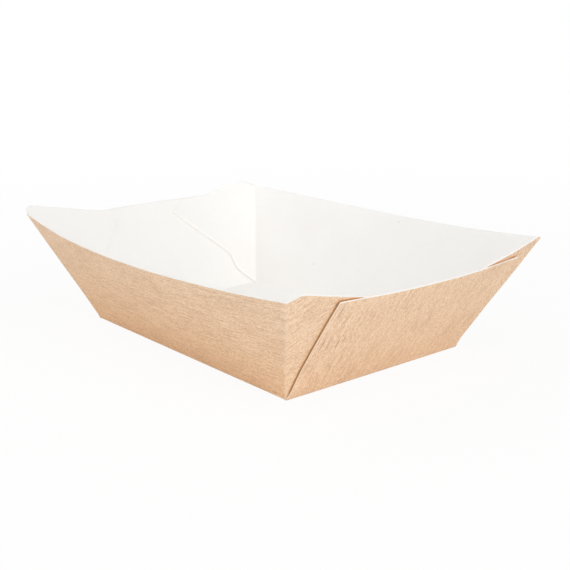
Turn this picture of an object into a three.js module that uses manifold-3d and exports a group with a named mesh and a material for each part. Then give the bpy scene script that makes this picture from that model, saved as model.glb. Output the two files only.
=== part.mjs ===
// Paper food tray: one die-cut sheet of kraft board, folded up and glued at its four corners.
// Millimetres, +Z up. The origin is on the table under the middle of the tray, with the long side along X.
// A long wall and the glue flaps at its ends are one strip. Each flap lies inside an end wall,
// held there by a patch of glue, and the end wall's cut edges stand a little off it.
// Its corners differ a little, as folded card does. At the near corner (+X -Y) and the far one (-X +Y)
// the fold slipped along the wall, and the rim's peak lies past it. At the left one (-X -Y) and the right
// one (+X +Y) the peak is beside the fold.

import * as THREE from 'three';
import { mergeVertices } from 'three/addons/utils/BufferGeometryUtils.js';
import Module from 'manifold-3d';

const wasm = await Module();
wasm.setup();

// Board and floor
const BOARD_THICKNESS = 0.45; // thickness of the board
const FLOOR_LENGTH = 107.4; // along X, outside the end walls' folds
const FLOOR_WIDTH = 71.5; // along Y, outside the long walls' folds
const FOLD_INSIDE_RADIUS = 0.4; // inside radius of every fold
const FLOOR_LAP = 3; // how far a wall's sheet is followed into the floor
const FLOOR_SLAB_INSET = 1.7; // the rest of the floor starts inside that lap
const FOLD_SHARE_AT_CORNERS = 0.5; // a fold takes up to this share of the way to the next one

// Lean of the walls from the vertical, in degrees: the walls bow out between the corners
const LONG_WALL_LEAN = 23;
const LONG_WALL_MIDDLE_LEAN = 30.7;
const END_WALL_LEAN = 28.5;
const END_WALL_MIDDLE_LEAN = 37.2;

// Rims, as heights over the table
const LONG_RIM_MIDDLE = 34.1;
const END_RIM = 33.8;

// End walls: half widths of the rim, which the cut edges run up to from the floor's corners
const END_RIM_TO_NEAR_CORNER = 35.3;
const END_RIM_TO_RIGHT_CORNER = 37.5;
const CUT_EDGE_LIFT = 0.45; // how far a cut edge stands off the flap behind it
const CUT_EDGE_LIFT_WIDTH = 7; // width of the strip that lifts
const LIFT_START_HEIGHT = 4; // the lift grows from the fold to this height

// Glue between flap and end wall
const GLUE_GAP = 0.12;
const GLUE_BITE = 0.15; // how far the glue patch soaks into each sheet
const GLUE_LOW_SHARE = 0.3; // where the patch starts, from the flap's lower edge to its rim
const GLUE_RIM_MARGIN = 1.5; // the patch stops this far under the end wall's rim

// Corners. 'past' is a distance from the corner fold along the end wall, and 'rim' and 'height' are
// heights over the table. The flap's free edge runs from the floor's corner by the heel and the knee
// to the toe, then up to the tip.
const SLIPPED_CORNER = {
  foldRim: 36.05,
  shoulderPast: 1.3,
  shoulderRim: 36.4,
  peakPast: 4.5,
  peakRim: 38,
  slopePast: 23.5,
  slopeRim: 33.9,
  tipPast: 32.5,
  tipRim: 33.3,
  toePast: 37.2,
  toeHeight: 29.4,
  kneePast: 12.2,
  kneeHeight: 12.1,
  heelPast: 9.2,
  heelHeight: 6.4,
  rimCurve: 2,
};
const LEFT_CORNER = {
  foldRim: 37.95,
  shoulderPast: 0.9,
  shoulderRim: 39.1,
  peakPast: 2.8,
  peakRim: 40.1,
  slopePast: 24,
  slopeRim: 35.2,
  tipPast: 29.4,
  tipRim: 34.1,
  toePast: 34.6,
  toeHeight: 30,
  kneePast: 9.4,
  kneeHeight: 12.1,
  heelPast: 6.4,
  heelHeight: 6.4,
  rimCurve: 2.4,
};
const RIGHT_CORNER = {
  ...LEFT_CORNER,
  foldRim: 37.5,
  shoulderPast: 2.3,
  shoulderRim: 38.2,
  peakPast: 4.8,
  peakRim: 38.7,
};

// Facets
const FOLD_STEPS = 3;
const WALL_ROWS = 6;
const LONG_WALL_STEPS = 18;
const END_WALL_STEPS = 16;
const FLAP_LOWER_STEPS = [2, 2, 8]; // floor corner to heel, heel to knee, knee to toe
const FLAP_RIM_STEPS = [1, 3, 5, 3]; // fold to shoulder, shoulder to peak, peak to slope, slope to tip
const GLUE_COLUMNS = 4; // the flap's columns that are glued, before the one at its free edge
const GLUE_ROWS = 4;
const WELD_DISTANCE = 1e-4;
const FOLD_POINT_PASSES = 6; // enough for the fold line to settle

const KRAFT = new THREE.MeshStandardMaterial({ color: 0xd9b48c, roughness: 0.9, metalness: 0 });
const HALF_TURN = new THREE.Matrix4().makeRotationZ(Math.PI);

const { clamp, lerp, smoothstep } = THREE.MathUtils;
const outwardRun = (degrees) => Math.tan(THREE.MathUtils.degToRad(degrees));

// Where the corner fold is at height z, for the bow of the walls between the folds
const cornerX = (z) => FLOOR_LENGTH / 2 + outwardRun(END_WALL_LEAN) * z;
const cornerY = (z) => FLOOR_WIDTH / 2 + outwardRun(LONG_WALL_LEAN) * z;

// Outward run of a wall for each millimetre of height: share is 0 at the wall's middle and 1 at a corner
function leanAt(share, cornerLean, middleLean) {
  return lerp(outwardRun(middleLean), outwardRun(cornerLean), Math.min(share * share, 1));
}

const longLean = (x, z) => leanAt(x / cornerX(z), LONG_WALL_LEAN, LONG_WALL_MIDDLE_LEAN);
const endLean = (y, z) => leanAt(y / cornerY(z), END_WALL_LEAN, END_WALL_MIDDLE_LEAN);

// Distance of a wall from the tray's middle, at a depth under its outer face
function longWallY(x, z, depth) {
  const lean = longLean(x, z);
  return FLOOR_WIDTH / 2 + lean * z - depth * Math.hypot(1, lean);
}

function endWallX(y, z, depth) {
  const lean = endLean(y, z);
  return FLOOR_LENGTH / 2 + lean * z - depth * Math.hypot(1, lean);
}

// The flap's outer face lies under the end wall and the glue
const flapX = (y, z, depth) => endWallX(y, z, BOARD_THICKNESS + GLUE_GAP + depth);

// Sharp meeting line of a long wall and its flap at height z
function foldPoint(z, depth) {
  const point = { x: cornerX(z), y: cornerY(z) };
  for (let pass = 0; pass < FOLD_POINT_PASSES; pass += 1) {
    point.y = longWallY(point.x, z, depth);
    point.x = flapX(point.y, z, depth);
  }
  return point;
}

// Length that a fold's bend takes from each face, for the face at this depth
const foldRadius = (depth) => FOLD_INSIDE_RADIUS + BOARD_THICKNESS - depth;
const floorSetback = (lean, depth) => foldRadius(depth) * (Math.hypot(1, lean) - lean);

function cornerSetback(z, depth) {
  const long = outwardRun(LONG_WALL_LEAN);
  const end = outwardRun(END_WALL_LEAN);
  const cosine = (long * end) / (Math.hypot(1, long) * Math.hypot(1, end));
  const halfAngleTangent = Math.sqrt((1 - cosine) / (1 + cosine));
  return Math.min(foldRadius(depth) * halfAngleTangent, (z - depth) * FOLD_SHARE_AT_CORNERS);
}

// A bend, as a curve from one face to the other with the sharp corner as its control point
const bend = (from, corner, to, share) => new THREE.QuadraticBezierCurve3(from, corner, to).getPoint(share);

// Closed solid between an outer and an inner face on one grid.
// place(column, row, inner) gives a point, and inner is 0 on the outer face and 1 on the inner one.
function sheetSolid(columnCount, rowCount, place) {
  const positions = [];
  const triangles = [];
  const outer = (column, row) => (column * rowCount + row) * 2;
  const inner = (column, row) => outer(column, row) + 1;
  for (let column = 0; column < columnCount; column += 1) {
    for (let row = 0; row < rowCount; row += 1) {
      positions.push(...place(column, row, 0).toArray(), ...place(column, row, 1).toArray());
    }
  }
  const quad = (a, b, c, d) => triangles.push(a, b, c, a, c, d);
  const last = columnCount - 1;
  const top = rowCount - 1;
  for (let c = 1; c <= last; c += 1) {
    for (let r = 1; r <= top; r += 1) {
      quad(outer(c - 1, r - 1), outer(c, r - 1), outer(c, r), outer(c - 1, r));
      quad(inner(c - 1, r), inner(c, r), inner(c, r - 1), inner(c - 1, r - 1));
    }
    quad(outer(c, 0), outer(c - 1, 0), inner(c - 1, 0), inner(c, 0));
    quad(outer(c - 1, top), outer(c, top), inner(c, top), inner(c - 1, top));
  }
  for (let r = 1; r <= top; r += 1) {
    quad(outer(0, r - 1), outer(0, r), inner(0, r), inner(0, r - 1));
    quad(outer(last, r), outer(last, r - 1), inner(last, r - 1), inner(last, r));
  }
  const geometry = new THREE.BufferGeometry();
  geometry.setAttribute('position', new THREE.Float32BufferAttribute(positions, 3));
  geometry.setIndex(triangles);
  return toManifold(geometry);
}

// Merged, without the triangles that merging has closed up
function toManifold(geometry) {
  geometry.deleteAttribute('normal');
  geometry.deleteAttribute('uv');
  const merged = mergeVertices(geometry, WELD_DISTANCE);
  const corners = merged.index.array;
  const kept = [];
  for (let i = 0; i < corners.length; i += 3) {
    const [a, b, c] = corners.slice(i, i + 3);
    if (a !== b && b !== c && c !== a) {
      kept.push(a, b, c);
    }
  }
  return new wasm.Manifold(new wasm.Mesh({
    numProp: 3,
    vertProperties: new Float32Array(merged.attributes.position.array),
    triVerts: new Uint32Array(kept),
  }));
}

function toGeometry(solid) {
  const mesh = solid.getMesh();
  const geometry = new THREE.BufferGeometry();
  geometry.setAttribute('position', new THREE.BufferAttribute(mesh.vertProperties, 3));
  geometry.setIndex(new THREE.BufferAttribute(mesh.triVerts, 1));
  geometry.computeVertexNormals();
  return geometry;
}

// Points along an outline that is given as corners, with so many steps on each stretch
function alongOutline(corners, steps) {
  const points = [corners[0]];
  steps.forEach((count, stretch) => {
    for (let step = 1; step <= count; step += 1) {
      points.push(corners[stretch].clone().lerp(corners[stretch + 1], step / count));
    }
  });
  return points;
}

// Flap outline, as (past the fold, height) pairs for its columns
function flapOutline(corner) {
  const at = (past, height) => new THREE.Vector2(past, height);
  const lower = [
    at(0, 0), at(corner.heelPast, corner.heelHeight),
    at(corner.kneePast, corner.kneeHeight), at(corner.toePast, corner.toeHeight),
  ];
  const rim = [
    at(0, corner.foldRim), at(corner.shoulderPast, corner.shoulderRim), at(corner.peakPast, corner.peakRim),
    at(corner.slopePast, corner.slopeRim), at(corner.tipPast, corner.tipRim),
  ];
  return { lower: alongOutline(lower, FLAP_LOWER_STEPS), rim: alongOutline(rim, FLAP_RIM_STEPS) };
}

// A cut edge is square to the sheet, so its inner corner is this much higher
const cutRise = (degrees) => BOARD_THICKNESS * Math.sin(THREE.MathUtils.degToRad(degrees));

// Point of the near long wall: share runs from -1 at its -X end to 1, and rise from 0 at the floor to 1
function longWallPoint(share, rim, rise, inner) {
  const depth = inner * BOARD_THICKNESS;
  const z = lerp(depth, rim + inner * cutRise(LONG_WALL_LEAN), rise);
  const x = share * (foldPoint(z, depth).x - cornerSetback(z, depth));
  return new THREE.Vector3(x, -longWallY(x, z, depth), z);
}

// Point of a flap of the near long wall: side is 1 at its +X end and -1 at the other
function flapPoint(side, past, z, depth) {
  const y = foldPoint(z, depth).y - Math.max(past, cornerSetback(z, depth));
  return new THREE.Vector3(side * flapX(y, z, depth), -y, z);
}

function longWallRim(share, corners) {
  const corner = share < 0 ? corners[0] : corners[1];
  return lerp(LONG_RIM_MIDDLE, corner.foldRim, Math.abs(share) ** corner.rimCurve);
}

const riseOfRow = (row) => Math.max(row - FOLD_STEPS - 1, 0) / WALL_ROWS;

// Point of a wall's column: into the floor, round the fold and up to the rim.
// at(rise) is the wall's own point, and the fold takes setback on the floor and bendRise on the wall.
function wallColumnPoint(row, at, inward, setback, bendRise) {
  const foot = at(0);
  if (row === 0) {
    return foot.clone().addScaledVector(inward, FLOOR_LAP);
  }
  if (row > FOLD_STEPS + 1) {
    return at(lerp(bendRise, 1, riseOfRow(row)));
  }
  const onFloor = foot.clone().addScaledVector(inward, setback);
  return bend(onFloor, foot, at(bendRise), (row - 1) / FOLD_STEPS);
}

function longWallColumn(share, corners) {
  const rim = longWallRim(share, corners);
  return (row, inner) => {
    const depth = inner * BOARD_THICKNESS;
    const at = (rise) => longWallPoint(share, rim, rise, inner);
    const foot = at(0);
    const lean = longLean(foot.x, foot.z);
    const toCorner = foldPoint(depth, depth).x - Math.abs(foot.x);
    const setback = Math.min(floorSetback(lean, depth), toCorner * FOLD_SHARE_AT_CORNERS);
    const bendRise = setback / Math.hypot(1, lean) / (rim - depth);
    return wallColumnPoint(row, at, new THREE.Vector3(0, 1, 0), setback, bendRise);
  };
}

// Column of the bend between the long wall and a flap
function cornerColumn(side, corner, turn) {
  return (row, inner) => {
    const depth = inner * BOARD_THICKNESS;
    const wall = longWallPoint(side, corner.foldRim, riseOfRow(row), inner);
    const fold = foldPoint(wall.z, depth);
    const sharp = new THREE.Vector3(side * fold.x, -fold.y, wall.z);
    return bend(wall, sharp, flapPoint(side, 0, wall.z, depth), turn);
  };
}

// Column of a flap, from its lower edge to its rim
function flapColumn(side, low, high) {
  return (row, inner) => {
    const point = low.clone().lerp(high, riseOfRow(row));
    return flapPoint(side, point.x, point.y + inner * cutRise(END_WALL_LEAN), inner * BOARD_THICKNESS);
  };
}

// Columns from the wall's end round the corner fold to the flap's free edge
function cornerAndFlap(side, corner) {
  const columns = [];
  for (let step = 1; step <= FOLD_STEPS; step += 1) {
    columns.push(cornerColumn(side, corner, step / FOLD_STEPS));
  }
  const { lower, rim } = flapOutline(corner);
  for (let step = 1; step < lower.length; step += 1) {
    columns.push(flapColumn(side, lower[step], rim[step]));
  }
  return columns;
}

// A long wall with its two flaps: corners holds the one at its -X end and the one at its +X end
function longWallStrip(...corners) {
  const columns = cornerAndFlap(-1, corners[0]).reverse();
  for (let step = 0; step <= LONG_WALL_STEPS; step += 1) {
    columns.push(longWallColumn(lerp(-1, 1, step / LONG_WALL_STEPS), corners));
  }
  columns.push(...cornerAndFlap(1, corners[1]));
  const rowCount = FOLD_STEPS + 2 + WALL_ROWS;
  return sheetSolid(columns.length, rowCount, (column, row, inner) => columns[column](row, inner));
}

// How far the end wall stands off near its cut edges
function liftAt(toEdge, z) {
  const acrossStrip = 1 - clamp(toEdge / CUT_EDGE_LIFT_WIDTH, 0, 1);
  return CUT_EDGE_LIFT * acrossStrip ** 2 * smoothstep(z, 0, LIFT_START_HEIGHT);
}

// Point of the end wall on the +X side: share runs from -1 at the near corner to 1 at the right one
function endWallPoint(share, rise, inner) {
  const depth = inner * BOARD_THICKNESS;
  const z = lerp(depth, END_RIM + inner * cutRise(END_WALL_LEAN), rise);
  const rimHalf = share < 0 ? END_RIM_TO_NEAR_CORNER : END_RIM_TO_RIGHT_CORNER;
  const half = lerp(FLOOR_WIDTH / 2, rimHalf, rise);
  const y = share * half;
  const lift = liftAt(half - Math.abs(y), z);
  return new THREE.Vector3(endWallX(y, z, depth - lift), y, z);
}

function endWall() {
  const place = (column, row, inner) => {
    const share = lerp(-1, 1, column / END_WALL_STEPS);
    const depth = inner * BOARD_THICKNESS;
    const at = (rise) => endWallPoint(share, rise, inner);
    const foot = at(0);
    const lean = endLean(foot.y, foot.z);
    const setback = floorSetback(lean, depth);
    const bendRise = setback / Math.hypot(1, lean) / (END_RIM - depth);
    return wallColumnPoint(row, at, new THREE.Vector3(-1, 0, 0), setback, bendRise);
  };
  return sheetSolid(END_WALL_STEPS + 1, FOLD_STEPS + 2 + WALL_ROWS, place);
}

// Patch of glue between a flap and the +X end wall: side is -1 at the near corner and 1 at the right one
function gluePatch(side, corner) {
  const { lower, rim } = flapOutline(corner);
  const free = lower.length - 1;
  const place = (column, row, inner) => {
    const low = lower[free - 1 - column];
    const high = rim[free - 1 - column];
    const topShare = (END_RIM - GLUE_RIM_MARGIN - low.y) / (high.y - low.y);
    const point = low.clone().lerp(high, lerp(GLUE_LOW_SHARE, topShare, row / GLUE_ROWS));
    const y = side * (cornerY(point.y) - point.x);
    const depth = inner ? BOARD_THICKNESS + GLUE_GAP + GLUE_BITE : BOARD_THICKNESS - GLUE_BITE;
    return new THREE.Vector3(endWallX(y, point.y, depth), y, point.y);
  };
  const order = (column) => (side < 0 ? GLUE_COLUMNS - 1 - column : column);
  return sheetSolid(GLUE_COLUMNS, GLUE_ROWS + 1, (column, row, inner) => place(order(column), row, inner));
}

function floor() {
  const length = FLOOR_LENGTH - 2 * FLOOR_SLAB_INSET;
  const width = FLOOR_WIDTH - 2 * FLOOR_SLAB_INSET;
  const slab = new THREE.BoxGeometry(length, width, BOARD_THICKNESS);
  slab.translate(0, 0, BOARD_THICKNESS / 2);
  return toManifold(slab);
}

// The near long wall and the right end, then the far wall and the left end as the same turned about Z
function foodTray() {
  const end = endWall().add(gluePatch(-1, SLIPPED_CORNER)).add(gluePatch(1, LEFT_CORNER));
  const nearHalf = longWallStrip(LEFT_CORNER, SLIPPED_CORNER).add(end);
  const farHalf = longWallStrip(RIGHT_CORNER, SLIPPED_CORNER).add(end).transform(HALF_TURN.elements);
  return nearHalf.add(floor()).add(farHalf);
}

const tray = new THREE.Mesh(toGeometry(foodTray()), KRAFT);
tray.name = 'food_tray';

const group = new THREE.Group();
group.add(tray);

export default group;
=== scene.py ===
"""Paper food tray: one sheet of board, kraft outside and white inside, folded up and glued at its corners."""

import math

import bpy
import numpy as np
from mathutils import Matrix, Vector


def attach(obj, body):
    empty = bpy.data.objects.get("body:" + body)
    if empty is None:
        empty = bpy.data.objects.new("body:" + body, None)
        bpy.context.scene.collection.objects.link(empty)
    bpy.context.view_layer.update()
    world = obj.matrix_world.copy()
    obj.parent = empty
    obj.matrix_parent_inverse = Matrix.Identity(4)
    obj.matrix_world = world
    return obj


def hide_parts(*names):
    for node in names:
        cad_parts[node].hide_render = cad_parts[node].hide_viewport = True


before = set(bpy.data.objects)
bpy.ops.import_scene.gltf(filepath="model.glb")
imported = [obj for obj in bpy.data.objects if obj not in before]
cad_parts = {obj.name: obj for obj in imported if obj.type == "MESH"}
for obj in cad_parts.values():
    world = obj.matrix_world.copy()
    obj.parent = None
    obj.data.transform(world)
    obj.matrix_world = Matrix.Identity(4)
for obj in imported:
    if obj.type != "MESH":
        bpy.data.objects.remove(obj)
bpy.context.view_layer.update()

MM = 0.001

# Camera: the photograph's viewing angle, with azimuths in degrees round from -Y towards +X
CAMERA_PLACE = Vector((262.84 * MM, -205.32 * MM, 108.3 * MM))
CAMERA_AZIMUTH = 50.97
CAMERA_ELEVATION = 15.38
CAMERA_ROLL = -0.83
CAMERA_CLIP_START = 0.01
FOCAL_LENGTH = 1.7776  # over the picture's width
SENSOR_WIDTH = 36

# Light, with lamps as (azimuth, degrees up, watts)
LAMPS = {
    "key": (90, 20, 5.8),
    "high": (90, 55, 2.5),
    "fill": (10, 20, 3.4),
    "back": (-60, 45, 3.4),
}
LAMP_SIZE = 0.9
LAMP_DISTANCE = 1.2
WORLD_STRENGTH = 0.41

# Studio floor: grey paper that goes over to plain white away from the tray
FLOOR_SIZE = 40.0
FLOOR_DROP = 0.03 * MM
FLOOR_GREY = 0.93
FLOOR_WHITE_SHARE = 0.92  # how far the seen floor at the tray is drawn to plain white
SHADOW_NEAR = 0.12  # distances between which the rest of the way is made
SHADOW_FAR = 0.4

# Board and the tray's floor
BOARD = 0.45 * MM
FLOOR_LENGTH = 107.4 * MM
FLOOR_WIDTH = 71.5 * MM
FOLD_INSIDE_RADIUS = 0.4 * MM
FOLD_SHARE_AT_CORNERS = 0.5  # a fold takes up to this share of the way to the next one

# Lean of the walls from the vertical, in degrees: the walls bow out between the corners
LONG_WALL_LEAN = 23
LONG_WALL_MIDDLE_LEAN = 30.7
END_WALL_LEAN = 28.5
END_WALL_MIDDLE_LEAN = 37.2

# Rims, as heights over the table, and the end walls' half widths there
LONG_RIM_MIDDLE = 34.1 * MM
END_RIM = 33.8 * MM
END_RIM_TO_NEAR_CORNER = 35.3 * MM
END_RIM_TO_RIGHT_CORNER = 37.5 * MM

# How the glued sheets lie on each other
GLUE_GAP = 0.06 * MM
CUT_EDGE_LIFT = 0.4 * MM
CUT_EDGE_LIFT_WIDTH = 7 * MM
LIFT_HEIGHT_AT_NEAR_CORNER = 4 * MM
LIFT_HEIGHT_AT_RIGHT_CORNER = 24 * MM

# The right cut edge is cut back a little above the fold, and less and less up to the rim
RIGHT_CUT_INSET = 0.25 * MM
RIGHT_CUT_INSET_HEIGHT = 2 * MM

# The flaps' lower edges are pressed thin where they are glued down
PRESSED_SHARE = 0.5
PRESSED_SHARE_AT_HEEL = 0.22
HEEL_LENGTH = 10 * MM
PRESSED_ROWS = 2
PRESSED_FROM_FOLD = 1.5 * MM

# Slow unevenness of the pressed board, always inwards
RIPPLE_DEPTH = 0.16 * MM
RIPPLE_LENGTHS = (31 * MM, 47 * MM)
RIPPLE_START_HEIGHT = 12 * MM
RIPPLE_MEAN = 0.5
RIPPLE_SWING = 0.25
NEAR_HALF_PHASES = {"long": 0.4, "end": 2.1, "other_end": 4.0}
FAR_HALF_PHASES = {"long": 3.2, "end": 4.0, "other_end": 2.1}

# Corners: (distance past the corner fold, height) in millimetres, along the flap's rim and its lower edge,
# and the power by which the long wall's rim rises to the corner
SLIPPED_CORNER = {
    "rim": [(0, 36.05), (1.3, 36.4), (4.5, 38), (23.5, 33.9), (32.5, 33.3)],
    "lower": [(0, 0), (9.2, 6.4), (12.2, 12.1), (37.2, 29.4)],
    "curve": 2,
}
LEFT_CORNER = {
    "rim": [(0, 37.95), (0.9, 39.1), (2.8, 40.1), (24, 35.2), (29.4, 34.1)],
    "lower": [(0, 0), (6.4, 6.4), (9.4, 12.1), (34.6, 30)],
    "curve": 2.4,
}
RIGHT_CORNER = {
    "rim": [(0, 37.5), (2.3, 38.2), (4.8, 38.7), (24, 35.2), (29.4, 34.1)],
    "lower": LEFT_CORNER["lower"],
    "curve": 2.4,
}
OUTLINE_ROUNDING = 1.2 * MM

# Steps of the mesh: both lists of a flap's steps have the same sum
FOLD_STEPS = 6
WALL_ROWS = 36
LONG_WALL_STEPS = 84
END_WALL_STEPS = 64
RIM_STEPS = [4, 8, 16, 8]
LOWER_STEPS = [8, 6, 22]
FLAP_COLUMNS = FOLD_STEPS + sum(LOWER_STEPS)  # with those of its corner fold
FOLD_POINT_PASSES = 6  # enough for the fold line to settle
EDGE_CHAMFER = 0.04 * MM
WELD_DIGITS = 8
SHARP_ANGLE = 40
OUTSIDE, INSIDE, CUT_EDGE = range(3)  # material slots

# Marks on the blank, in millimetres: scratches along the fibres as (start, end, place across), and specks
SCRATCHES = [
    (87.0, 92.8, -33.2),
    (73.9, 79.8, -33.1),
    (73.5, 79.7, -31.0),
    (73.5, 78.2, -27.6),
    (75.1, 79.2, -25.9),
    (63.2, 65.7, -24.8),
]
SCRATCH_WIDTH = 0.5 * MM
SCRATCH_STRENGTH = 0.8
SPECKS = [(9.0, 72.8), (-24.4, 49.5), (-23.8, 26.0)]
SPECK_WIDTH = 0.7 * MM
SPECK_STRENGTH = 0.5
MARK_CORE_SHARE = 0.4  # a mark has its full strength over this share of its size

# Thin dark scores all over the kraft: the grain's tones between which they set in
SCORE_TONES = (0.73, 0.82)
SCORE_STRENGTH = 0.4

# Wear at the corner folds, and the part of a flap that an end wall covers, which is given painted shade
CORNER_WEAR_WIDTH = 0.85 * MM
CORNER_WEAR_TONES = (0.35, 0.65)  # the grain's tones between which the wear goes from least to most
CORNER_WEAR_RANGE = (0.05, 0.30)
COVER_SOFTNESS = 1.0 * MM
COVER_PAST_CUT = 0.15 * MM
COVER_PAST_RIM = 0.6 * MM
RIM_ZONE = (0.93 * END_RIM, 0.985 * END_RIM)  # heights between which the end walls' rim zone sets in
LONG_WALL_FACING = (0.2, 0.8)  # how much of a normal lies along Y on the other walls and on the long ones

# Colours: those in a ramp each stand beside the tone at which they are reached
PLAIN_WHITE = (1, 1, 1, 1)
KRAFT_BROWNS = [
    (0.475, (0.650, 0.428, 0.272, 1)),
    (0.600, (0.845, 0.608, 0.419, 1)),
    (0.725, (0.965, 0.765, 0.570, 1)),
]
# Painted shade, multiplied onto the kraft: darker and warmer towards the bottom of the walls, less on the end
# walls
KRAFT_LOW_SHADE = [(0.0, (1, 0.91, 0.80, 1)), (0.5, (1, 0.965, 0.92, 1)), (1.0, PLAIN_WHITE)]
END_WALL_LOW_SHADE_SHARE = 0.3
DARK_MARK = (0.46, 0.28, 0.19, 1)
WORN_KRAFT = (0.88, 0.72, 0.58, 1)
# Painted shade on a flap where an end wall covers it, and a darker painted shadow under the end wall's rim
SHADED_KRAFT_UNDER_END_WALL = (0.80, 0.42, 0.17, 1)
SHADOW_KRAFT_UNDER_RIM = (0.62, 0.30, 0.11, 1)
WHITE_LINING = [
    (0.36, (0.936, 0.918, 0.890, 1)),
    (0.64, (0.956, 0.942, 0.918, 1)),
]
SPECK_BROWN = (0.70, 0.50, 0.33, 1)
CUT_LAYERS = [
    (0.25, (0.860, 0.680, 0.510, 1)),
    (0.60, (0.900, 0.750, 0.600, 1)),
    (0.85, (0.920, 0.800, 0.670, 1)),
]
CUT_AT_RIM = (0.91, 0.895, 0.87, 1)
COVERED_CUT = (0.91, 0.85, 0.77, 1)
GRAIN_ROUGHNESS = 0.6
BUMP_DISTANCE = 0.05 * MM


def lerp(a, b, t):
    return a + (b - a) * t


def smoothstep(t):
    t = np.clip(t, 0, 1)
    return t * t * (3 - 2 * t)


def outward_run(degrees):
    return math.tan(math.radians(degrees))


def bend(start, corner, end, share):
    """Curve from a start to an end that a sharp corner pulls towards itself."""
    return (1 - share) ** 2 * start + 2 * share * (1 - share) * corner + share ** 2 * end


# Form of the walls, as in the model that this one dresses

def corner_x(z):
    return FLOOR_LENGTH / 2 + outward_run(END_WALL_LEAN) * z


def corner_y(z):
    return FLOOR_WIDTH / 2 + outward_run(LONG_WALL_LEAN) * z


def lean_at(share, corner_lean, middle_lean):
    return lerp(outward_run(middle_lean), outward_run(corner_lean), np.minimum(share * share, 1))


def long_lean(x, z):
    return lean_at(x / corner_x(z), LONG_WALL_LEAN, LONG_WALL_MIDDLE_LEAN)


def end_lean(y, z):
    return lean_at(y / corner_y(z), END_WALL_LEAN, END_WALL_MIDDLE_LEAN)


def ripple(along, z, phase):
    first, second = RIPPLE_LENGTHS
    wave = np.sin(math.tau * along / first + phase) + np.sin(math.tau * (along + 2 * z) / second + 2 * phase)
    return -RIPPLE_DEPTH * (RIPPLE_MEAN + RIPPLE_SWING * wave) * smoothstep(z / RIPPLE_START_HEIGHT)


def long_wall_y(x, z, depth, phase):
    lean = long_lean(x, z)
    return FLOOR_WIDTH / 2 + lean * z - depth * np.hypot(1, lean) + ripple(x, z, phase)


def end_wall_x(y, z, depth, phase):
    lean = end_lean(y, z)
    return FLOOR_LENGTH / 2 + lean * z - depth * np.hypot(1, lean) + ripple(y, z, phase)


class Half:
    """One long wall with its two flaps, and the end wall beside it. The other half is turned about Z."""

    def __init__(self, left, right, phases):
        self.left = left
        self.right = right
        self.phases = phases

    def long_y(self, x, z, depth):
        return long_wall_y(x, z, depth, self.phases["long"])

    def flap_x(self, side, y, z, depth):
        phase = self.phases["end"] if side > 0 else self.phases["other_end"]
        return end_wall_x(side * y, z, BOARD + GLUE_GAP + depth, phase)

    def fold_point(self, side, z, depth):
        """Sharp meeting line of the long wall and a flap."""
        x, y = corner_x(z), corner_y(z)
        for _ in range(FOLD_POINT_PASSES):
            y = self.long_y(side * x, z, depth)
            x = self.flap_x(side, -y, z, depth)
        return x, y


def fold_radius(depth):
    return FOLD_INSIDE_RADIUS + BOARD - depth


def floor_setback(lean, depth):
    return fold_radius(depth) * (np.hypot(1, lean) - lean)


def corner_setback(z, depth):
    long = outward_run(LONG_WALL_LEAN)
    end = outward_run(END_WALL_LEAN)
    cosine = long * end / (math.hypot(1, long) * math.hypot(1, end))
    half_angle_tangent = math.sqrt((1 - cosine) / (1 + cosine))
    return np.minimum(fold_radius(depth) * half_angle_tangent, (z - depth) * FOLD_SHARE_AT_CORNERS)


def cut_rise(lean, depth):
    """A cut edge is square to the sheet, so its inner corner is higher."""
    return BOARD * math.sin(math.radians(lean)) if depth else 0


def points(x, y, z):
    return np.stack(np.broadcast_arrays(x, y, z), axis=-1)


def side_of(share):
    return 1 if share >= 0 else -1


def column_rises():
    """Rise of each row of a column, 0 all through the fold at the floor."""
    return np.concatenate([np.zeros(FOLD_STEPS), np.linspace(0, 1, WALL_ROWS + 1)])


def folded_column(at, inward, setback, bend_rise):
    """A wall's column round the fold at the floor and up to the rim."""
    foot = at(np.zeros(1))[0]
    turn = np.arange(FOLD_STEPS)[:, None] / FOLD_STEPS
    fold = bend(foot + setback * np.array(inward), foot, at(np.array([bend_rise]))[0], turn)
    return np.concatenate([fold, at(lerp(bend_rise, 1, np.linspace(0, 1, WALL_ROWS + 1)))])


def long_wall_point(half, share, rim, rise, depth):
    z = lerp(depth, rim + cut_rise(LONG_WALL_LEAN, depth), rise)
    x = share * (half.fold_point(side_of(share), z, depth)[0] - corner_setback(z, depth))
    return points(x, -half.long_y(x, z, depth), z)


def fold_rim(corner):
    return corner["rim"][0][1] * MM


def long_wall_rim(half, share):
    corner = half.left if share < 0 else half.right
    return lerp(LONG_RIM_MIDDLE, fold_rim(corner), abs(share) ** corner["curve"])


def long_wall_column(half, share, depth):
    rim = long_wall_rim(half, share)

    def at(rise):
        return long_wall_point(half, share, rim, rise, depth)

    foot = at(np.zeros(1))[0]
    lean = long_lean(foot[0], foot[2])
    to_corner = half.fold_point(side_of(share), depth, depth)[0] - abs(foot[0])
    setback = min(floor_setback(lean, depth), to_corner * FOLD_SHARE_AT_CORNERS)
    bend_rise = setback / math.hypot(1, lean) / (rim - depth)
    return folded_column(at, (0, 1, 0), setback, bend_rise)


def flap_point(half, side, past, z, depth):
    y = half.fold_point(side, z, depth)[1] - np.maximum(past, corner_setback(z, depth))
    return points(side * half.flap_x(side, -y, z, depth), -y, z)


def corner_column(half, side, corner, turn, depth):
    wall = long_wall_point(half, side, fold_rim(corner), column_rises(), depth)
    z = wall[:, 2]
    x, y = half.fold_point(side, z, depth)
    return bend(wall, points(side * x, -y, z), flap_point(half, side, 0, z, depth), turn)


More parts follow.
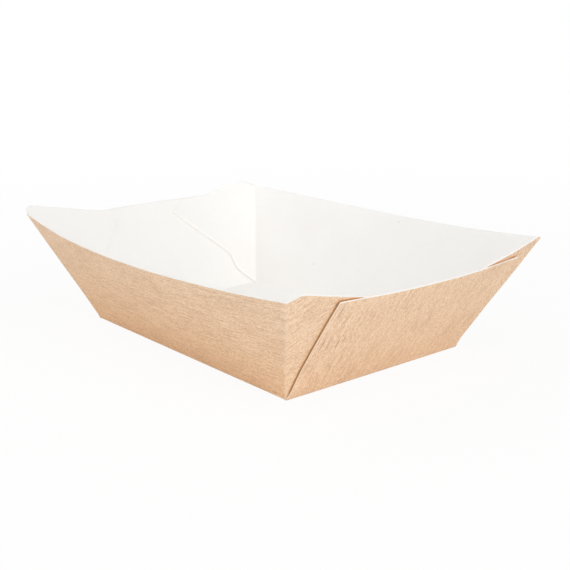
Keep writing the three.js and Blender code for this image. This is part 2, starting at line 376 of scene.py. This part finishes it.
def pressed_share(from_fold):
    """Thickness of each row of a flap's column, as a share of the board's."""
    rows_from_edge = np.arange(FOLD_STEPS + WALL_ROWS + 1) - FOLD_STEPS
    near_edge = 1 - smoothstep(rows_from_edge / PRESSED_ROWS)
    least = lerp(PRESSED_SHARE_AT_HEEL, PRESSED_SHARE, smoothstep(from_fold / HEEL_LENGTH))
    return 1 - (1 - least) * near_edge * smoothstep(from_fold / PRESSED_FROM_FOLD)


def flap_column(half, side, low, high, depth):
    past, z = lerp(low, high, column_rises()[:, None]).T
    return flap_point(half, side, past, z + cut_rise(END_WALL_LEAN, depth), depth * pressed_share(low[0]))


def rounded_outline(corners, steps):
    """Points along an outline given in millimetres, with its inner corners rounded."""
    corners = np.array(corners) * MM
    made = [corners[0]]
    for stretch, count in enumerate(steps):
        made += [rounded_point(corners, stretch, step / count) for step in range(1, count + 1)]
    return made


def rounded_point(corners, stretch, share):
    """Point on a stretch between two corners, or on the curve round the corner that is close."""
    length = np.linalg.norm(corners[stretch + 1] - corners[stretch])
    for at, offset in ((stretch, share * length), (stretch + 1, (share - 1) * length)):
        if 0 < at < len(corners) - 1:
            arms = corners[[at - 1, at + 1]] - corners[at]
            arm_lengths = np.linalg.norm(arms, axis=1)
            reach = min(OUTLINE_ROUNDING, *arm_lengths / 2)
            if abs(offset) <= reach:
                first, last = corners[at] + reach * arms / arm_lengths[:, None]
                return bend(first, corners[at], last, (offset + reach) / (2 * reach))
    return lerp(corners[stretch], corners[stretch + 1], share)


def end_lift(to_edge, z, full_height):
    """How far an end wall stands off the flap near its cut edge."""
    across = 1 - np.clip(to_edge / CUT_EDGE_LIFT_WIDTH, 0, 1)
    return CUT_EDGE_LIFT * across ** 2 * smoothstep(z / full_height)


def end_half_width(near_corner, z):
    """Half width of an end wall at height z, towards its near or its right corner."""
    if near_corner:
        return lerp(FLOOR_WIDTH / 2, END_RIM_TO_NEAR_CORNER, z / END_RIM)
    inset = RIGHT_CUT_INSET * smoothstep(z / RIGHT_CUT_INSET_HEIGHT) * (1 - z / END_RIM)
    return lerp(FLOOR_WIDTH / 2, END_RIM_TO_RIGHT_CORNER, z / END_RIM) - inset


def end_wall_column(half, share, depth):
    near_corner = share < 0
    lift_height = LIFT_HEIGHT_AT_NEAR_CORNER if near_corner else LIFT_HEIGHT_AT_RIGHT_CORNER

    def at(rise):
        z = lerp(depth, END_RIM + cut_rise(END_WALL_LEAN, depth), rise)
        wide = end_half_width(near_corner, rise * END_RIM)
        y = share * wide
        lift = end_lift(wide - np.abs(y), z, lift_height)
        return points(end_wall_x(y, z, depth - lift, half.phases["end"]), y, z)

    foot = at(np.zeros(1))[0]
    lean = end_lean(foot[1], foot[2])
    setback = floor_setback(lean, depth)
    bend_rise = setback / math.hypot(1, lean) / (END_RIM - depth)
    return folded_column(at, (-1, 0, 0), setback, bend_rise)


# Blank: where each point of the sheet lay before it was folded

def rows_length(column):
    """Length of a column up to each of its rows."""
    steps = np.linalg.norm(np.diff(column, axis=0), axis=1)
    return np.concatenate([[0], np.cumsum(steps)])


def wall_blank(column, along, outward):
    """A wall's column laid flat: along is the wall's own axis, and outward the sign of its way out."""
    profile = column.copy()
    profile[:, along] = 0
    across = 1 - along
    blank = np.empty((len(column), 2))
    blank[:, along] = column[:, along]
    blank[:, across] = column[0, across] + outward * rows_length(profile)
    return blank


def flap_blank(half, side, column, past_fold=None):
    """A flap unfolds about its corner fold, so its fibres run on from the long wall's."""
    edge = long_wall_column(half, side, 0)
    low, high = edge[[0, -1]]
    blank_low, blank_high = wall_blank(edge, 0, -1)[[0, -1]]
    fold = (high - low) / np.linalg.norm(high - low)
    along = (column - low) @ fold
    if past_fold is None:
        past_fold = np.linalg.norm(column - low - along[:, None] * fold, axis=1)
    blank_fold = (blank_high - blank_low) / np.linalg.norm(blank_high - blank_low)
    across = side * np.array([-blank_fold[1], blank_fold[0]])
    return blank_low + along[:, None] * blank_fold + past_fold[:, None] * across


# Columns of the sheet, each as its outer points, its inner points and their fields

def column_of(outer, inner, blank, past_fold=FLOOR_WIDTH, covered=0.0):
    """A column with what the materials need: its place on the blank, its distance from the corner fold
    and how far another layer covers it."""
    fields = np.empty((len(outer), 4))
    fields[:, :2] = blank
    fields[:, 2] = np.abs(past_fold)
    fields[:, 3] = covered
    return outer, inner, fields


def under_end_wall(side, outer):
    """1 where a flap lies under an end wall. The flap at a half's +X end is at the near corner of its own end
    wall, and the one at its -X end at the right corner of the other half's."""
    # Mask of the painted shade on the flap, also used for its paler cut edge; it reaches a little above the
    # end wall's rim, where the wall's lip shades the flap
    inside_cut = end_half_width(side > 0, outer[:, 2]) + outer[:, 1] + COVER_PAST_CUT
    below_rim = END_RIM - outer[:, 2] + COVER_PAST_RIM
    return smoothstep(0.5 + np.minimum(inside_cut, below_rim) / COVER_SOFTNESS)


def corner_columns(half, side, corner):
    """Columns of the bend between the long wall and a flap."""
    columns = []
    for step in range(1, FOLD_STEPS + 1):
        turn = step / FOLD_STEPS
        outer, inner = (corner_column(half, side, corner, turn, depth) for depth in (0, BOARD))
        past_fold = (2 * turn - 1) * corner_setback(outer[:, 2], 0)
        columns.append(column_of(outer, inner, flap_blank(half, side, outer, past_fold), past_fold))
    return columns


def flap_columns(half, side, corner):
    columns = []
    lower = rounded_outline(corner["lower"], LOWER_STEPS)
    rim = rounded_outline(corner["rim"], RIM_STEPS)
    for low, high in zip(lower[1:], rim[1:]):
        outer, inner = (flap_column(half, side, low, high, depth) for depth in (0, BOARD))
        past_fold = half.fold_point(side, outer[:, 2], 0)[1] + outer[:, 1]
        covered = under_end_wall(side, outer)
        columns.append(column_of(outer, inner, flap_blank(half, side, outer), past_fold, covered))
    return columns


def wall_shares(steps):
    """Shares of the way from a wall's middle to its corners, closer together at the corners."""
    return np.sin(np.linspace(-1, 1, steps + 1) * math.pi / 2)


def long_wall_columns(half):
    columns = []
    for share in wall_shares(LONG_WALL_STEPS):
        outer, inner = (long_wall_column(half, share, depth) for depth in (0, BOARD))
        past_fold = half.fold_point(side_of(share), outer[:, 2], 0)[0] - np.abs(outer[:, 0])
        columns.append(column_of(outer, inner, wall_blank(outer, 0, -1), past_fold))
    return columns


def strip(half):
    """Columns of a long wall and its flaps, from the flap at its -X end to the one at its +X end."""
    left = corner_columns(half, -1, half.left) + flap_columns(half, -1, half.left)
    right = corner_columns(half, 1, half.right) + flap_columns(half, 1, half.right)
    return left[::-1] + long_wall_columns(half) + right


def end_wall(half):
    columns = []
    for share in wall_shares(END_WALL_STEPS):
        outer, inner = (end_wall_column(half, share, depth) for depth in (0, BOARD))
        columns.append(column_of(outer, inner, wall_blank(outer, 1, 1)))
    return columns


def turned(columns):
    """The same columns turned by half a turn about Z."""
    flip = np.array([-1, -1, 1])
    flip_fields = np.array([-1, -1, 1, 1])
    return [(outer * flip, inner * flip, fields * flip_fields) for outer, inner, fields in columns]


def coons(near, far, left, right):
    """Surface between four boundaries, each from its lower end in X or Y to its higher one."""
    along = ((near[:, 0] - near[0, 0]) / (near[-1, 0] - near[0, 0]))[:, None, None]
    across = ((left[:, 1] - left[0, 1]) / (left[-1, 1] - left[0, 1]))[None, :, None]
    near_to_far = lerp(near[:, None], far[:, None], across)
    left_to_right = lerp(left[None], right[None], along)
    corners = lerp(lerp(near[0], near[-1], along), lerp(far[0], far[-1], along), across)
    return near_to_far + left_to_right - corners


def floor_columns(near_strip, far_strip, right_end, left_end):
    """The floor's columns, between the lowest rows of the four walls."""
    wall = slice(FLAP_COLUMNS, FLAP_COLUMNS + LONG_WALL_STEPS + 1)
    surfaces = []
    for face in (0, 1):
        right = np.array([column[face][0] for column in right_end])
        left = np.array([column[face][0] for column in left_end])[::-1]
        near = np.array([column[face][0] for column in near_strip[wall]])
        far = np.array([column[face][0] for column in far_strip[wall]])[::-1]
        near = np.concatenate([left[:1], near, right[:1]])
        far = np.concatenate([left[-1:], far, right[-1:]])
        surfaces.append(coons(near, far, left, right))
    return [column_of(outer, inner, outer[:, :2]) for outer, inner in zip(*surfaces)]


def tray_patches():
    """The sheet's grids of columns, each with whether its faces are turned over."""
    near = Half(LEFT_CORNER, SLIPPED_CORNER, NEAR_HALF_PHASES)
    far = Half(RIGHT_CORNER, SLIPPED_CORNER, FAR_HALF_PHASES)
    near_strip, right_end = strip(near), end_wall(near)
    far_strip, left_end = turned(strip(far)), turned(end_wall(far))
    floor = floor_columns(near_strip, far_strip, right_end, left_end)
    return [(near_strip, False), (far_strip, False), (right_end, False), (left_end, False), (floor, True)]


# Mesh of the sheet

def grid_faces(first, columns, rows, flip=False):
    corner = first + (np.arange(columns - 1)[:, None] * rows + np.arange(rows - 1)).reshape(-1, 1)
    quad = np.concatenate([corner, corner + rows, corner + rows + 1, corner + 1], axis=1)
    return quad[:, ::-1] if flip else quad


def gather(patches):
    """All the patches' points and quads, welded where patches meet or a fold closes up."""
    outer, inner, fields, quads = [], [], [], []
    first = 0
    for columns, flip in patches:
        rows = len(columns[0][0])
        quads.append(grid_faces(first, len(columns), rows, flip))
        for target, part in zip((outer, inner, fields), zip(*columns)):
            target.append(np.concatenate(part))
        first += len(columns) * rows
    outer, inner, fields, quads = map(np.concatenate, (outer, inner, fields, quads))
    _, kept, welded = np.unique(outer.round(WELD_DIGITS), axis=0, return_index=True, return_inverse=True)
    return outer[kept], inner[kept], fields[kept], welded.reshape(-1)[quads]


def without_repeats(quads):
    """Faces as lists, each corner once, without those that have closed up."""
    faces = []
    for quad in quads.tolist():
        face = [corner for k, corner in enumerate(quad) if corner != quad[k - 1]]
        if len(set(face)) > 2:
            faces.append(face)
    return faces


def free_edges(faces):
    """Directed edges that only one face has."""
    found = set()
    for face in faces:
        for k, corner in enumerate(face):
            found.add((face[k - 1], corner))
    return sorted((a, b) for a, b in found if (b, a) not in found)


def cut_directions(outer, inner, edges):
    """Direction out of the sheet at each point of its cut edge, and which points those are."""
    outward = np.zeros_like(outer)
    for a, b in edges:
        normal = np.cross(outer[b] - outer[a], inner[a] - outer[a])
        normal /= -np.linalg.norm(normal)
        outward[a] += normal
        outward[b] += normal
    length = np.linalg.norm(outward, axis=1)
    on_cut = length > 0
    outward[on_cut] /= length[on_cut, None]
    return outward, on_cut


def cut_faces(edges, on_cut):
    """Three strips along the cut edge: the outer chamfer, the cut itself and the inner chamfer."""
    count = len(on_cut)
    shoulder = 2 * count + np.cumsum(on_cut) - 1
    rings = [np.arange(count), shoulder, shoulder + on_cut.sum(), count + np.arange(count)]
    faces = []
    for a, b in edges:
        for low, high in zip(rings, rings[1:]):
            faces.append([int(corner) for corner in (low[b], low[a], high[a], high[b])])
    return faces


def board_mesh(patches):
    """Closed sheet: outer face, inner face, and cut edges with a small chamfer on both sides."""
    outer, inner, fields, quads = gather(patches)
    faces = without_repeats(quads)
    edges = free_edges(faces)
    outward, on_cut = cut_directions(outer, inner, edges)
    depths = (EDGE_CHAMFER / BOARD, 1 - EDGE_CHAMFER / BOARD)
    shoulders = [lerp(outer[on_cut], inner[on_cut], depth) for depth in depths]
    pulled = outward * EDGE_CHAMFER
    vertices = np.concatenate([outer - pulled, inner - pulled, *shoulders])
    vertices[:, 2] = np.maximum(vertices[:, 2], 0)
    made = [(face, OUTSIDE) for face in faces]
    made += [([len(outer) + corner for corner in reversed(face)], INSIDE) for face in faces]
    made += [(face, CUT_EDGE) for face in cut_faces(edges, on_cut)]
    layers = [(fields, 0), (fields, 1), *((fields[on_cut], depth) for depth in depths)]
    with_depth = [np.column_stack([part, np.full(len(part), depth)]) for part, depth in layers]
    return vertices, made, np.concatenate(with_depth)


def add_fields(mesh, fields):
    """The fields go onto the mesh as a map of the blank and three point attributes."""
    uv = mesh.uv_layers.new(name="blank")
    corner_vertices = np.empty(len(mesh.loops), int)
    mesh.loops.foreach_get("vertex_index", corner_vertices)
    uv.data.foreach_set("uv", fields[corner_vertices, :2].ravel())
    past_fold, covered, depth_share = fields[:, 2:].T
    for name, values in (
        ("corner_wear", np.exp(-(past_fold / CORNER_WEAR_WIDTH) ** 2)),
        ("covered", covered),
        ("depth_share", depth_share),
    ):
        mesh.attributes.new(name, "FLOAT", "POINT").data.foreach_set("value", values)


def make_tray():
    vertices, faces, fields = board_mesh(tray_patches())
    mesh = bpy.data.meshes.new("paper_tray")
    mesh.from_pydata(vertices.tolist(), [], [face for face, _ in faces])
    mesh.polygons.foreach_set("material_index", [slot for _, slot in faces])
    mesh.polygons.foreach_set("use_smooth", [True] * len(faces))
    add_fields(mesh, fields)
    for material in (kraft_outside(), white_inside(), cut_edge()):
        mesh.materials.append(material)
    mesh.set_sharp_from_angle(angle=math.radians(SHARP_ANGLE))
    mesh.validate()
    tray = bpy.data.objects.new("paper_tray", mesh)
    bpy.context.scene.collection.objects.link(tray)
    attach(tray, "root")
    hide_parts("food_tray")


# Shader nodes

def node(tree, kind, inputs=(), **settings):
    made = tree.nodes.new(kind)
    for name, value in settings.items():
        setattr(made, name, value)
    for name, value in dict(inputs).items():
        feed(tree, made.inputs[name], value)
    return made


def feed(tree, socket, value):
    """Links a socket to another one or sets it."""
    if isinstance(value, bpy.types.NodeSocket):
        tree.links.new(value, socket)
    else:
        socket.default_value = value


def math_node(tree, operation, a, b=0.0):
    return node(tree, "ShaderNodeMath", {0: a, 1: b}, operation=operation).outputs[0]


def remap(tree, value, low, high, to_low=0.0, to_high=1.0):
    inputs = {"Value": value, "From Min": low, "From Max": high, "To Min": to_low, "To Max": to_high}
    return node(tree, "ShaderNodeMapRange", inputs).outputs["Result"]


def blank_place(tree):
    return node(tree, "ShaderNodeUVMap", uv_map="blank").outputs["UV"]


def grain(tree, along, across, detail, offset):
    """Noise on the blank, with so many cells in a metre along the board's fibres and across them."""
    inputs = {"Vector": blank_place(tree), "Scale": (along, across, 1.0), "Location": (offset,) * 3}
    placed = node(tree, "ShaderNodeMapping", inputs).outputs["Vector"]
    inputs = {"Vector": placed, "Scale": 1.0, "Detail": detail, "Roughness": GRAIN_ROUGHNESS}
    return node(tree, "ShaderNodeTexNoise", inputs).outputs[0]


def mix_color(tree, factor, a, b, blend_type="MIX"):
    made = node(tree, "ShaderNodeMix", data_type="RGBA", blend_type=blend_type)
    for name, value in (("Factor_Float", factor), ("A_Color", a), ("B_Color", b)):
        feed(tree, next(socket for socket in made.inputs if socket.identifier == name), value)
    return next(socket for socket in made.outputs if socket.identifier == "Result_Color")


def ramp(tree, value, stops):
    made = node(tree, "ShaderNodeValToRGB", {"Fac": value})
    elements = made.color_ramp.elements
    while len(elements) < len(stops):
        elements.new(0.5)
    for element, (position, color) in zip(elements, stops):
        element.position = position
        element.color = color
    return made.outputs["Color"]


def field(tree, name):
    return node(tree, "ShaderNodeAttribute", attribute_name=name).outputs["Fac"]


def weighted(tree, *pairs):
    """Sum of values, each times its weight."""
    total = None
    for value, weight in pairs:
        part = math_node(tree, "MULTIPLY", value, weight)
        total = part if total is None else math_node(tree, "ADD", total, part)
    return total


def height(tree):
    place = node(tree, "ShaderNodeTexCoord").outputs["Object"]
    return node(tree, "ShaderNodeSeparateXYZ", {0: place}).outputs["Z"]


def at_rim(tree):
    return remap(tree, height(tree), *RIM_ZONE)


def on_long_wall(tree):
    """1 on the long walls and 0 on the end walls and flaps."""
    normal = node(tree, "ShaderNodeTexCoord").outputs["Normal"]
    across = node(tree, "ShaderNodeSeparateXYZ", {0: normal}).outputs["Y"]
    return remap(tree, math_node(tree, "ABSOLUTE", across), *LONG_WALL_FACING)


def close_to(tree, value, middle, reach):
    """1 where a value is at a middle, falling to 0 at a distance from it."""
    distance = math_node(tree, "ABSOLUTE", math_node(tree, "SUBTRACT", value, middle))
    return remap(tree, distance, MARK_CORE_SHARE * reach, reach, 1.0, 0.0)


def marks(tree, rectangles):
    """1 on rectangles of the blank, each as (middle along, middle across, half length, half width)."""
    along, across = node(tree, "ShaderNodeSeparateXYZ", {0: blank_place(tree)}).outputs[:2]
    found = 0.0
    for middle, place, half_length, half_width in rectangles:
        spot = math_node(tree, "MULTIPLY", close_to(tree, along, middle, half_length),
                         close_to(tree, across, place, half_width))
        found = math_node(tree, "MAXIMUM", spot, found)
    return found


# Materials

def new_material(name, roughness, specular):
    material = bpy.data.materials.new(name)
    material.use_nodes = True
    tree = material.node_tree
    shader = tree.nodes["Principled BSDF"]
    shader.inputs["Roughness"].default_value = roughness
    shader.inputs["Specular IOR Level"].default_value = specular
    return material, tree, shader


def add_bump(tree, shader, relief, strength):
    bump = node(tree, "ShaderNodeBump", {"Height": relief, "Strength": strength, "Distance": BUMP_DISTANCE})
    tree.links.new(bump.outputs["Normal"], shader.inputs["Normal"])


def kraft_tone(tree):
    """Fine grain, short fibres along the blank's length, longer streaks and slow blotches."""
    return weighted(
        tree,
        (grain(tree, 2900, 3700, detail=1, offset=1.7), 0.54),
        (grain(tree, 700, 2900, detail=1, offset=0.3), 0.26),
        (grain(tree, 110, 2500, detail=1, offset=6.1), 0.30),
        (grain(tree, 40, 90, detail=2, offset=4.1), 0.10),
    )


def kraft_marks(tree):
    """Thin dark scores all over, and the scratches."""
    scores = remap(tree, grain(tree, 150, 3000, detail=0, offset=7.3), *SCORE_TONES, 0.0, SCORE_STRENGTH)
    scratches = marks(tree, [
        ((start + end) / 2 * MM, place * MM, (end - start) / 2 * MM, SCRATCH_WIDTH / 2)
        for start, end, place in SCRATCHES
    ])
    return math_node(tree, "MAXIMUM", scores, math_node(tree, "MULTIPLY", scratches, SCRATCH_STRENGTH))


def painted_low_shade(tree):
    """Painted shade: the kraft is made darker and warmer low on the walls, most of all on the long ones."""
    low_shade_color = ramp(tree, remap(tree, height(tree), 0.0, LONG_RIM_MIDDLE), KRAFT_LOW_SHADE)
    low_shade_share = remap(tree, on_long_wall(tree), 0.0, 1.0, END_WALL_LOW_SHADE_SHARE, 1.0)
    return mix_color(tree, low_shade_share, PLAIN_WHITE, low_shade_color)


def kraft_outside():
    """Brown board with its marks, rubbed lighter along the corner folds. Painted shade darkens it low on the
    walls and where it lies under the end walls, most in a painted shadow under their rims.
    """
    material, tree, shader = new_material("kraft_outside", roughness=0.82, specular=0.3)
    tone = kraft_tone(tree)
    color = mix_color(tree, kraft_marks(tree), ramp(tree, tone, KRAFT_BROWNS), DARK_MARK)
    # Painted shade low on the walls
    color = mix_color(tree, 1.0, color, painted_low_shade(tree), blend_type="MULTIPLY")
    patches = grain(tree, 1500, 1500, detail=3, offset=9.0)
    rubbed = remap(tree, patches, *CORNER_WEAR_TONES, *CORNER_WEAR_RANGE)
    wear = math_node(tree, "MULTIPLY", field(tree, "corner_wear"), rubbed)
    color = mix_color(tree, wear, color, WORN_KRAFT)
    # Painted shade where an end wall covers the flap, and a darker painted shadow under the end wall's rim
    covered = field(tree, "covered")
    color = mix_color(tree, covered, color, SHADED_KRAFT_UNDER_END_WALL)
    rim_shadow_mask = math_node(tree, "MULTIPLY", covered, at_rim(tree))
    color = mix_color(tree, rim_shadow_mask, color, SHADOW_KRAFT_UNDER_RIM)
    tree.links.new(color, shader.inputs["Base Color"])
    add_bump(tree, shader, tone, 0.25)
    return material


def white_inside():
    """White lining with a faint mottle, and three specks."""
    material, tree, shader = new_material("white_inside", roughness=0.6, specular=0.35)
    mottle = grain(tree, 500, 900, detail=3, offset=2.2)
    clouds = grain(tree, 35, 50, detail=2, offset=5.5)
    color = ramp(tree, weighted(tree, (mottle, 0.4), (clouds, 0.6)), WHITE_LINING)
    half = SPECK_WIDTH / 2
    specks = marks(tree, [(along * MM, across * MM, half, half) for along, across in SPECKS])
    color = mix_color(tree, math_node(tree, "MULTIPLY", specks, SPECK_STRENGTH), color, SPECK_BROWN)
    tree.links.new(color, shader.inputs["Base Color"])
    add_bump(tree, shader, mottle, 0.15)
    return material


def cut_edge():
    """Brown towards the outer face and paler towards the white lining. It is paler still at the rims, and on
    the flaps' edges where an end wall covers them."""
    material, tree, shader = new_material("cut_edge", roughness=0.9, specular=0.5)
    fuzz = grain(tree, 1800, 1800, detail=3, offset=3.3)
    color = ramp(tree, weighted(tree, (field(tree, "depth_share"), 1.0), (fuzz, 0.3)), CUT_LAYERS)
    color = mix_color(tree, at_rim(tree), color, CUT_AT_RIM)
    color = mix_color(tree, field(tree, "covered"), color, COVERED_CUT)
    tree.links.new(color, shader.inputs["Base Color"])
    add_bump(tree, shader, fuzz, 0.4)
    return material


# Camera, floor and light

def direction(azimuth, elevation):
    azimuth, elevation = math.radians(azimuth), math.radians(elevation)
    level = math.cos(elevation)
    return Vector((math.sin(azimuth) * level, -math.cos(azimuth) * level, math.sin(elevation)))


def make_camera():
    data = bpy.data.cameras.new("camera")
    data.sensor_width = SENSOR_WIDTH
    data.lens = FOCAL_LENGTH * SENSOR_WIDTH
    data.clip_start = CAMERA_CLIP_START
    roll = math.radians(CAMERA_ROLL)
    back = direction(CAMERA_AZIMUTH, CAMERA_ELEVATION)
    level = direction(CAMERA_AZIMUTH + 90, 0)
    upright = back.cross(level)
    right = math.cos(roll) * level + math.sin(roll) * upright
    up = math.cos(roll) * upright - math.sin(roll) * level
    camera = bpy.data.objects.new("camera", data)
    camera.matrix_world = Matrix.Translation(CAMERA_PLACE) @ Matrix((right, up, back)).transposed().to_4x4()
    bpy.context.scene.collection.objects.link(camera)
    bpy.context.scene.camera = camera


def seen_directly(tree):
    """1 for what the camera sees, also in a reflection or through glass."""
    path = node(tree, "ShaderNodeLightPath").outputs
    seen = math_node(tree, "MAXIMUM", path["Is Camera Ray"], path["Is Glossy Ray"])
    return math_node(tree, "MAXIMUM", seen, path["Is Transmission Ray"])


def floor_material():
    material, tree, shader = new_material("studio_floor", roughness=1.0, specular=0.0)
    shader.inputs["Base Color"].default_value = (FLOOR_GREY, FLOOR_GREY, FLOOR_GREY, 1)
    white = node(tree, "ShaderNodeEmission", {"Color": PLAIN_WHITE, "Strength": 1.0})
    place = node(tree, "ShaderNodeTexCoord").outputs["Object"]
    away = node(tree, "ShaderNodeVectorMath", {0: place}, operation="LENGTH").outputs["Value"]
    whiteness = remap(tree, away, SHADOW_NEAR, SHADOW_FAR, FLOOR_WHITE_SHARE, 1.0)
    share = math_node(tree, "MULTIPLY", seen_directly(tree), whiteness)
    mixed = node(tree, "ShaderNodeMixShader", {0: share, 1: shader.outputs[0], 2: white.outputs[0]})
    tree.links.new(mixed.outputs[0], tree.nodes["Material Output"].inputs["Surface"])
    return material


def make_floor():
    mesh = bpy.data.meshes.new("studio_floor")
    half = FLOOR_SIZE / 2
    corners = [(x, y, -FLOOR_DROP) for x, y in ((-half, -half), (half, -half), (half, half), (-half, half))]
    mesh.from_pydata(corners, [], [(0, 1, 2, 3)])
    mesh.materials.append(floor_material())
    floor = bpy.data.objects.new("studio_floor", mesh)
    bpy.context.scene.collection.objects.link(floor)


def make_world():
    world = bpy.data.worlds.new("studio")
    world.use_nodes = True
    tree = world.node_tree
    background = tree.nodes["Background"]
    background.inputs["Color"].default_value = PLAIN_WHITE
    strength = remap(tree, seen_directly(tree), 0.0, 1.0, WORLD_STRENGTH, 1.0)
    tree.links.new(strength, background.inputs["Strength"])
    bpy.context.scene.world = world


def make_lamp(name, azimuth, elevation, power):
    data = bpy.data.lights.new(name, "AREA")
    data.energy = power
    data.size = LAMP_SIZE
    lamp = bpy.data.objects.new(name, data)
    away = direction(azimuth, elevation)
    lamp.location = LAMP_DISTANCE * away
    lamp.rotation_mode = "QUATERNION"
    lamp.rotation_quaternion = away.to_track_quat("Z", "Y")
    bpy.context.scene.collection.objects.link(lamp)


make_camera()
make_tray()
make_floor()
make_world()
for name, (azimuth, elevation, power) in LAMPS.items():
    make_lamp(name, azimuth, elevation, power)
bpy.context.scene.view_settings.view_transform = "Standard"
